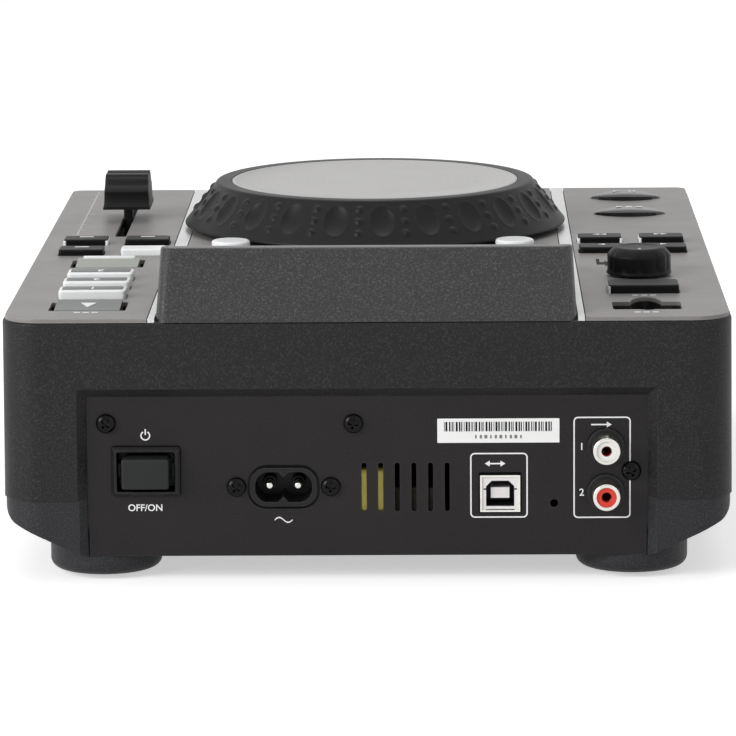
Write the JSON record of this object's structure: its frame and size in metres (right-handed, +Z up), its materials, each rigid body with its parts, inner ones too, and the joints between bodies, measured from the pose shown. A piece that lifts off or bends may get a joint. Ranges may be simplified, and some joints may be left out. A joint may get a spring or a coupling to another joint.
{
  "type": "tabletop dj cd player",
  "caption": "Tabletop DJ disc player with a jog wheel on its deck, a raised tilted screen, pitch fader, select knob, press keys, slot-in disc drive and a recessed connector panel.",
  "frame": {"origin": "centre of the bounding box's base, on the table under the feet", "axes": "+Z up, +Y towards the connector panel at the rear, so the operator stands on the -Y side; +X to the operator's right"},
  "size_m": [0.22, 0.286, 0.0998],
  "materials": {
    "shell_black": "fine matt texture",
    "hump_black": "speckled matt texture",
    "deck_grey": "satin gunmetal",
    "trim_silver": "bright satin",
    "window": "gloss smoked",
    "lcd": "screen",
    "panel_black": "matt",
    "screw_black": "black oxide",
    "rubber": "matt",
    "black_plastic": "smooth",
    "button_white": "translucent white",
    "button_grey": "smooth grey",
    "button_black": "smooth",
    "nickel": "nickel plated",
    "core_white": "smooth",
    "core_red": "smooth",
    "board_green": "solder mask",
    "tape_yellow": "taped winding",
    "capacitor": "sleeved can",
    "switch_grey": "moulded",
    "jog_black": "soft touch",
    "jog_silver": "satin disc",
    "steel": "pressed sheet",
    "bearing": "acetal",
    "port_white": "moulded"
  },
  "bodies": {
    "case": {"ac_inlet": "black_plastic", "ac_pins": "nickel", "bottom_cover": "shell_black", "deck_plate_centre": "deck_grey", "deck_plates_side": "deck_grey", "display_housing": "hump_black", "display_module": "lcd", "display_window": "window", "drive_chassis": "steel", "feet": "rubber", "jog_bearing": "bearing", "jog_sensor": "switch_grey", "key_boards": "board_green", "key_switches": "switch_grey", "main_board": "board_green", "pitch_fader": "steel", "power_switch": "black_plastic", "psu_board": "board_green", "psu_capacitors": "capacitor", "psu_transformer": "tape_yellow", "rca_block": "black_plastic", "rca_core_left": "core_white", "rca_core_right": "core_red", "rca_shells": "nickel", "rear_panel": "panel_black", "screws": "screw_black", "select_encoder": "switch_grey", "top_cover": "shell_black", "trim_strips": "trim_silver", "usb_a_socket": "black_plastic", "usb_b_insert": "port_white", "usb_b_shell": "nickel"},
    "jog": {"jog_rim": "jog_black", "jog_disc": "jog_silver", "jog_hub": "bearing"},
    "pitch_knob": {"pitch_knob": "button_black"},
    "select_shaft": {"select_shaft": "steel"},
    "select_knob": {"select_knob": "button_black"},
    "power_button": {"power_button": "button_black"},
    "spindle": {"spindle_hub": "steel"},
    "loading_roller": {"loading_roller": "rubber"},
    "laser_sled": {"laser_sled": "switch_grey"},
    "key_back": {"key_back": "button_black"},
    "key_cue": {"key_cue": "button_grey"},
    "key_eject": {"key_eject": "button_grey"},
    "key_left_1": {"key_left_1": "button_black"},
    "key_left_2": {"key_left_2": "button_black"},
    "key_left_3": {"key_left_3": "button_black"},
    "key_left_4": {"key_left_4": "button_black"},
    "key_menu": {"key_menu": "button_grey"},
    "key_play": {"key_play": "button_grey"},
    "key_right_1": {"key_right_1": "button_black"},
    "key_right_2": {"key_right_2": "button_black"},
    "key_right_3": {"key_right_3": "button_white"},
    "key_right_4": {"key_right_4": "button_black"},
    "key_round_left": {"key_round_left": "button_white"},
    "key_round_right": {"key_round_right": "button_white"},
    "pad_1": {"pad_1": "button_white"},
    "pad_2": {"pad_2": "button_white"},
    "pad_3": {"pad_3": "button_white"}
  },
  "joints": [
    {"name": "jog_spin", "type": "hinge", "parent": "case", "child": "jog", "pos_m": [0, -0.0536, 0.0813], "axis": [0, 0, 1], "continuous": true},
    {"name": "pitch_slide", "type": "slide", "parent": "case", "child": "pitch_knob", "axis": [0, 1, 0], "range_m": [-0.054, 0.04]},
    {"name": "select_push", "type": "slide", "parent": "case", "child": "select_shaft", "axis": [0, 0, -1], "range_m": [0, 0.0005], "stiffness_N_per_m": 800},
    {"name": "select_spin", "type": "hinge", "parent": "select_shaft", "child": "select_knob", "pos_m": [-0.0846, 0.0565, 0.0812], "axis": [0, 0, 1], "continuous": true},
    {"name": "power_push", "type": "slide", "parent": "case", "child": "power_button", "axis": [0, -1, 0], "range_m": [0, 0.003], "stiffness_N_per_m": 300},
    {"name": "spindle_spin", "type": "hinge", "parent": "case", "child": "spindle", "pos_m": [0, -0.066, 0.031], "axis": [0, 0, 1], "continuous": true},
    {"name": "roller_spin", "type": "hinge", "parent": "case", "child": "loading_roller", "pos_m": [0, -0.13, 0.0298], "axis": [1, 0, 0], "continuous": true},
    {"name": "sled_slide", "type": "slide", "parent": "case", "child": "laser_sled", "axis": [1, 0, 0], "range_m": [0, 0.034]},
    {"name": "key_back_press", "type": "slide", "parent": "case", "child": "key_back", "axis": [0, 0, -1], "range_m": [0, 0.0008], "stiffness_N_per_m": 600},
    {"name": "key_cue_press", "type": "slide", "parent": "case", "child": "key_cue", "axis": [0, 0, -1], "range_m": [0, 0.0008], "stiffness_N_per_m": 600},
    {"name": "key_eject_press", "type": "slide", "parent": "case", "child": "key_eject", "axis": [0, 0, -1], "range_m": [0, 0.0008], "stiffness_N_per_m": 600},
    {"name": "key_left_1_press", "type": "slide", "parent": "case", "child": "key_left_1", "axis": [0, 0, -1], "range_m": [0, 0.0008], "stiffness_N_per_m": 600},
    {"name": "key_left_2_press", "type": "slide", "parent": "case", "child": "key_left_2", "axis": [0, 0, -1], "range_m": [0, 0.0008], "stiffness_N_per_m": 600},
    {"name": "key_left_3_press", "type": "slide", "parent": "case", "child": "key_left_3", "axis": [0, 0, -1], "range_m": [0, 0.0008], "stiffness_N_per_m": 600},
    {"name": "key_left_4_press", "type": "slide", "parent": "case", "child": "key_left_4", "axis": [0, 0, -1], "range_m": [0, 0.0008], "stiffness_N_per_m": 600},
    {"name": "key_menu_press", "type": "slide", "parent": "case", "child": "key_menu", "axis": [0, 0, -1], "range_m": [0, 0.0008], "stiffness_N_per_m": 600},
    {"name": "key_play_press", "type": "slide", "parent": "case", "child": "key_play", "axis": [0, 0, -1], "range_m": [0, 0.0008], "stiffness_N_per_m": 600},
    {"name": "key_right_1_press", "type": "slide", "parent": "case", "child": "key_right_1", "axis": [0, 0, -1], "range_m": [0, 0.0008], "stiffness_N_per_m": 600},
    {"name": "key_right_2_press", "type": "slide", "parent": "case", "child": "key_right_2", "axis": [0, 0, -1], "range_m": [0, 0.0008], "stiffness_N_per_m": 600},
    {"name": "key_right_3_press", "type": "slide", "parent": "case", "child": "key_right_3", "axis": [0, 0, -1], "range_m": [0, 0.0008], "stiffness_N_per_m": 600},
    {"name": "key_right_4_press", "type": "slide", "parent": "case", "child": "key_right_4", "axis": [0, 0, -1], "range_m": [0, 0.0008], "stiffness_N_per_m": 600},
    {"name": "key_round_left_press", "type": "slide", "parent": "case", "child": "key_round_left", "axis": [0, 0, -1], "range_m": [0, 0.0008], "stiffness_N_per_m": 600},
    {"name": "key_round_right_press", "type": "slide", "parent": "case", "child": "key_round_right", "axis": [0, 0, -1], "range_m": [0, 0.0008], "stiffness_N_per_m": 600},
    {"name": "pad_1_press", "type": "slide", "parent": "case", "child": "pad_1", "axis": [0, 0, -1], "range_m": [0, 0.0008], "stiffness_N_per_m": 600},
    {"name": "pad_2_press", "type": "slide", "parent": "case", "child": "pad_2", "axis": [0, 0, -1], "range_m": [0, 0.0008], "stiffness_N_per_m": 600},
    {"name": "pad_3_press", "type": "slide", "parent": "case", "child": "pad_3", "axis": [0, 0, -1], "range_m": [0, 0.0008], "stiffness_N_per_m": 600}
  ]
}
